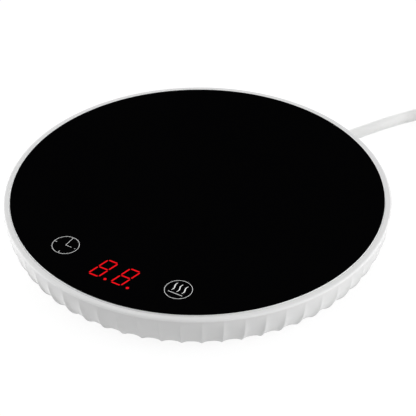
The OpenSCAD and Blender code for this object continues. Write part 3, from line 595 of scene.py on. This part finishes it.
kept = {
    "glass_adhesive": seal, "housing_screws": steel, "heat_spreader": aluminium,
    "heating_film": film, "insulation_pad": felt, "heater_retainer": steel,
    "retainer_screws": steel, "thermistor": black_part, "thermistor_leads": white_part,
    "thermal_cutoff": white_part, "heater_leads": red_wire, "control_board": board,
    "board_screws": steel, "display_light_box": white_part, "display_segments": red_bar,
    "segment_leds": chip_face, "touch_springs": spring, "microcontroller": black_part,
    "heater_switch": black_part, "smoothing_capacitor": aluminium, "buzzer": black_part,
    "power_leads": black_wire, "cord_clamp": white_part, "clamp_screws": steel,
    "cord_tail": jacket, "coil_tie": black_part, "plug_shell": steel,
    "plug_insulator": white_part, "plug_contacts": gold,
}
for kept_name, material in kept.items():
    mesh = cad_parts[kept_name].data
    mesh.materials.clear()
    mesh.materials.append(material)

# ---- Plug grip ----------------------------------------------------------------------------
# White plastic moulded round the plug and onto the end of the lead. Its edges are rounded,
# and a ribbed sleeve keeps the lead from kinking. Lengths run from the sleeve's end.
grip_w, grip_t, grip_l, grip_corner, grip_edge = 15.6, 8.0, 24.0, 2.0, 1.1
relief_l, ribs, rib_pitch = 9.0, 4, 2.25


def grip_shell():
    """Rounded rectangle carried along the plug's axis. Near both ends it draws in along a
    quarter circle of the edge's radius, and a ring of no size closes each end."""
    bow = np.linspace(0, np.pi / 2, 7)
    lift = grip_edge * (1 - np.cos(bow))
    along = np.concatenate([relief_l + lift, relief_l + grip_l - lift[::-1]])
    corner = grip_corner - grip_edge * (1 - np.sin(np.concatenate([bow, bow[::-1]])))
    angle = (np.arange(4)[:, None] * np.pi / 2 + np.linspace(0, np.pi / 2, 9)).ravel()
    quarter = np.repeat(np.arange(4) * np.pi / 2 + np.pi / 4, 9)
    x = (grip_w / 2 - grip_corner) * np.sign(np.cos(quarter)) + corner[:, None] * np.cos(angle)
    y = (grip_t / 2 - grip_corner) * np.sign(np.sin(quarter)) + corner[:, None] * np.sin(angle)
    rings = np.stack([x, y, np.repeat(along[:, None], len(angle), 1)], -1)
    ends = rings[[0, -1]] * [0, 0, 1]
    return np.concatenate([ends[:1], rings, ends[1:]])


at_plug = Matrix.Translation(plug_at) @ Matrix.Rotation(np.pi / 2, 4, "X")
plug_frame = np.array(at_plug)
grip = grip_shell() @ plug_frame[:3, :3].T + plug_frame[:3, 3]
# Each rib rises from the sleeve and falls back to it; both grow towards the grip.
rib_line = [point for i in range(ribs) for point in (
    (2.6 + 0.15 * i, rib_pitch * i + 1.1), (3.0 + 0.2 * i, rib_pitch * i + 1.3),
    (3.0 + 0.2 * i, rib_pitch * i + 2.1), (2.75 + 0.15 * i, rib_pitch * i + 2.25))]
relief_end = relief_l + 0.4
ribbed = rounded([(0, 0), (2.5, 0)] + rib_line + [(3.2, relief_end), (0, relief_end)],
                 [0, 0.2] + [0.1] * len(rib_line) + [0, 0])
piece("plug_moulding", [grip, lathed(ribbed, 48, at_plug)], white_part, ["plug_grip"],
      sharp_deg=50)

# ---- Table, backdrop and light ------------------------------------------------------------
# A white table without an edge, under a plain studio sky that is dimmer on the side where the
# photographer stands and towards the horizon. What the camera sees past the object is white.
world = bpy.data.worlds.new("studio")
bpy.context.scene.world = world
world.use_nodes = True
nodes, links = world.node_tree.nodes, world.node_tree.links


def node(kind, operation=None, **inputs):
    """A new shader node. Each input is given by its name, with an underscore for a space, or
    by an underscore and its number, and is either a value or the output of another node."""
    made = nodes.new("ShaderNode" + kind)
    if operation:
        made.operation = operation
    for name, value in inputs.items():
        socket = made.inputs[int(name[1:]) if name[0] == "_" else name.replace("_", " ")]
        if isinstance(value, bpy.types.NodeSocket):
            links.new(value, socket)
        else:
            socket.default_value = value
    return made


# Mirrors see the sky only as a bright band above the horizon, as under a black ceiling, so
# that the glass stays black.
direction = node("TexCoord").outputs["Generated"]
height = node("SeparateXYZ", _0=direction).outputs["Z"]
camera_side = (np.sin(turned), -np.cos(turned), 0.0)
to_camera = node("VectorMath", "DOT_PRODUCT", _0=direction, _1=camera_side).outputs["Value"]
dimmed = node("MapRange", Value=to_camera, From_Min=-0.1, From_Max=0.8, To_Min=1.0, To_Max=0.47)
risen = node("MapRange", Value=height, From_Min=0.1, From_Max=0.7, To_Min=0.35, To_Max=0.85)
band = node("MapRange", Value=height, From_Min=0.12, From_Max=0.40, To_Min=1.0, To_Max=0.0)
sky, mirror_sky = nodes["Background"], node("Background")
backdrop = node("Background", Strength=1.0)
for part in (sky, mirror_sky, backdrop):
    part.inputs["Color"].default_value = (1, 1, 1, 1)
for share, lit_sky in ((risen, sky), (band, mirror_sky)):
    strength = node("Math", "MULTIPLY", _0=dimmed.outputs["Result"], _1=share.outputs["Result"])
    links.new(strength.outputs[0], lit_sky.inputs["Strength"])
way = node("LightPath").outputs
unseen = node("MixShader", Fac=way["Is Glossy Ray"], _1=sky.outputs[0], _2=mirror_sky.outputs[0])
seen = node("MixShader", Fac=way["Is Camera Ray"], _1=unseen.outputs[0], _2=backdrop.outputs[0])
links.new(seen.outputs[0], nodes["World Output"].inputs["Surface"])

table_mesh = bpy.data.meshes.new("table")
table_mesh.from_pydata([(-4, -4, 0), (4, -4, 0), (4, 4, 0), (-4, 4, 0)], [], [(0, 1, 2, 3)])
table = bpy.data.objects.new("table", table_mesh)
bpy.context.scene.collection.objects.link(table)
table_white = bpy.data.materials.new("white table")
table_white.use_nodes = True
nodes, links = table_white.node_tree.nodes, table_white.node_tree.links
plain = nodes["Principled BSDF"]
plain.inputs["Base Color"].default_value = (0.94, 0.94, 0.94, 1)
plain.inputs["Roughness"].default_value = 0.9
plain.inputs["Specular IOR Level"].default_value = 0.0
way = node("LightPath").outputs
mirrored = node("Math", "ADD", _0=way["Is Glossy Ray"], _1=way["Is Transmission Ray"])
viewed = node("Math", "ADD", _0=way["Is Camera Ray"], _1=mirrored.outputs[0])
viewed.use_clamp = True
white_share = node("Math", "MULTIPLY", _0=viewed.outputs[0], _1=0.85)
shine = node("Emission", Strength=1.06)
mixed = node("MixShader", Fac=white_share.outputs[0], _1=plain.outputs[0], _2=shine.outputs[0])
links.new(mixed.outputs[0], nodes["Material Output"].inputs["Surface"])
table_mesh.materials.append(table_white)


def soft_light(name, turned_deg, raised_deg, width, height, watts, mirrored=True):
    """Soft box a metre away, turned towards the object: its place is given as the turn from
    the camera's own side, to the right, and the rise above the table. A box that isn't
    mirrored gives no highlight, as behind a polarising filter."""
    turn, rise = np.radians([camera_turn_deg + turned_deg, raised_deg])
    at = Vector((np.sin(turn) * np.cos(rise), -np.cos(turn) * np.cos(rise), np.sin(rise)))
    data = bpy.data.lights.new(name, "AREA")
    data.shape, data.size, data.size_y, data.energy = "RECTANGLE", width, height, watts
    box = bpy.data.objects.new(name, data)
    box.location = at
    box.rotation_mode = "QUATERNION"
    box.rotation_quaternion = (-at).to_track_quat("-Z", "Y")
    box.visible_glossy = mirrored
    bpy.context.scene.collection.objects.link(box)


soft_light("left low soft box", -118, 4, 0.4, 0.1, 9.0, False)
soft_light("right low soft box", 90, 4, 0.4, 0.1, 4.0, False)
soft_light("right high soft box", 52, 46, 0.8, 0.12, 2.6)
bpy.context.scene.view_settings.view_transform = "Standard"
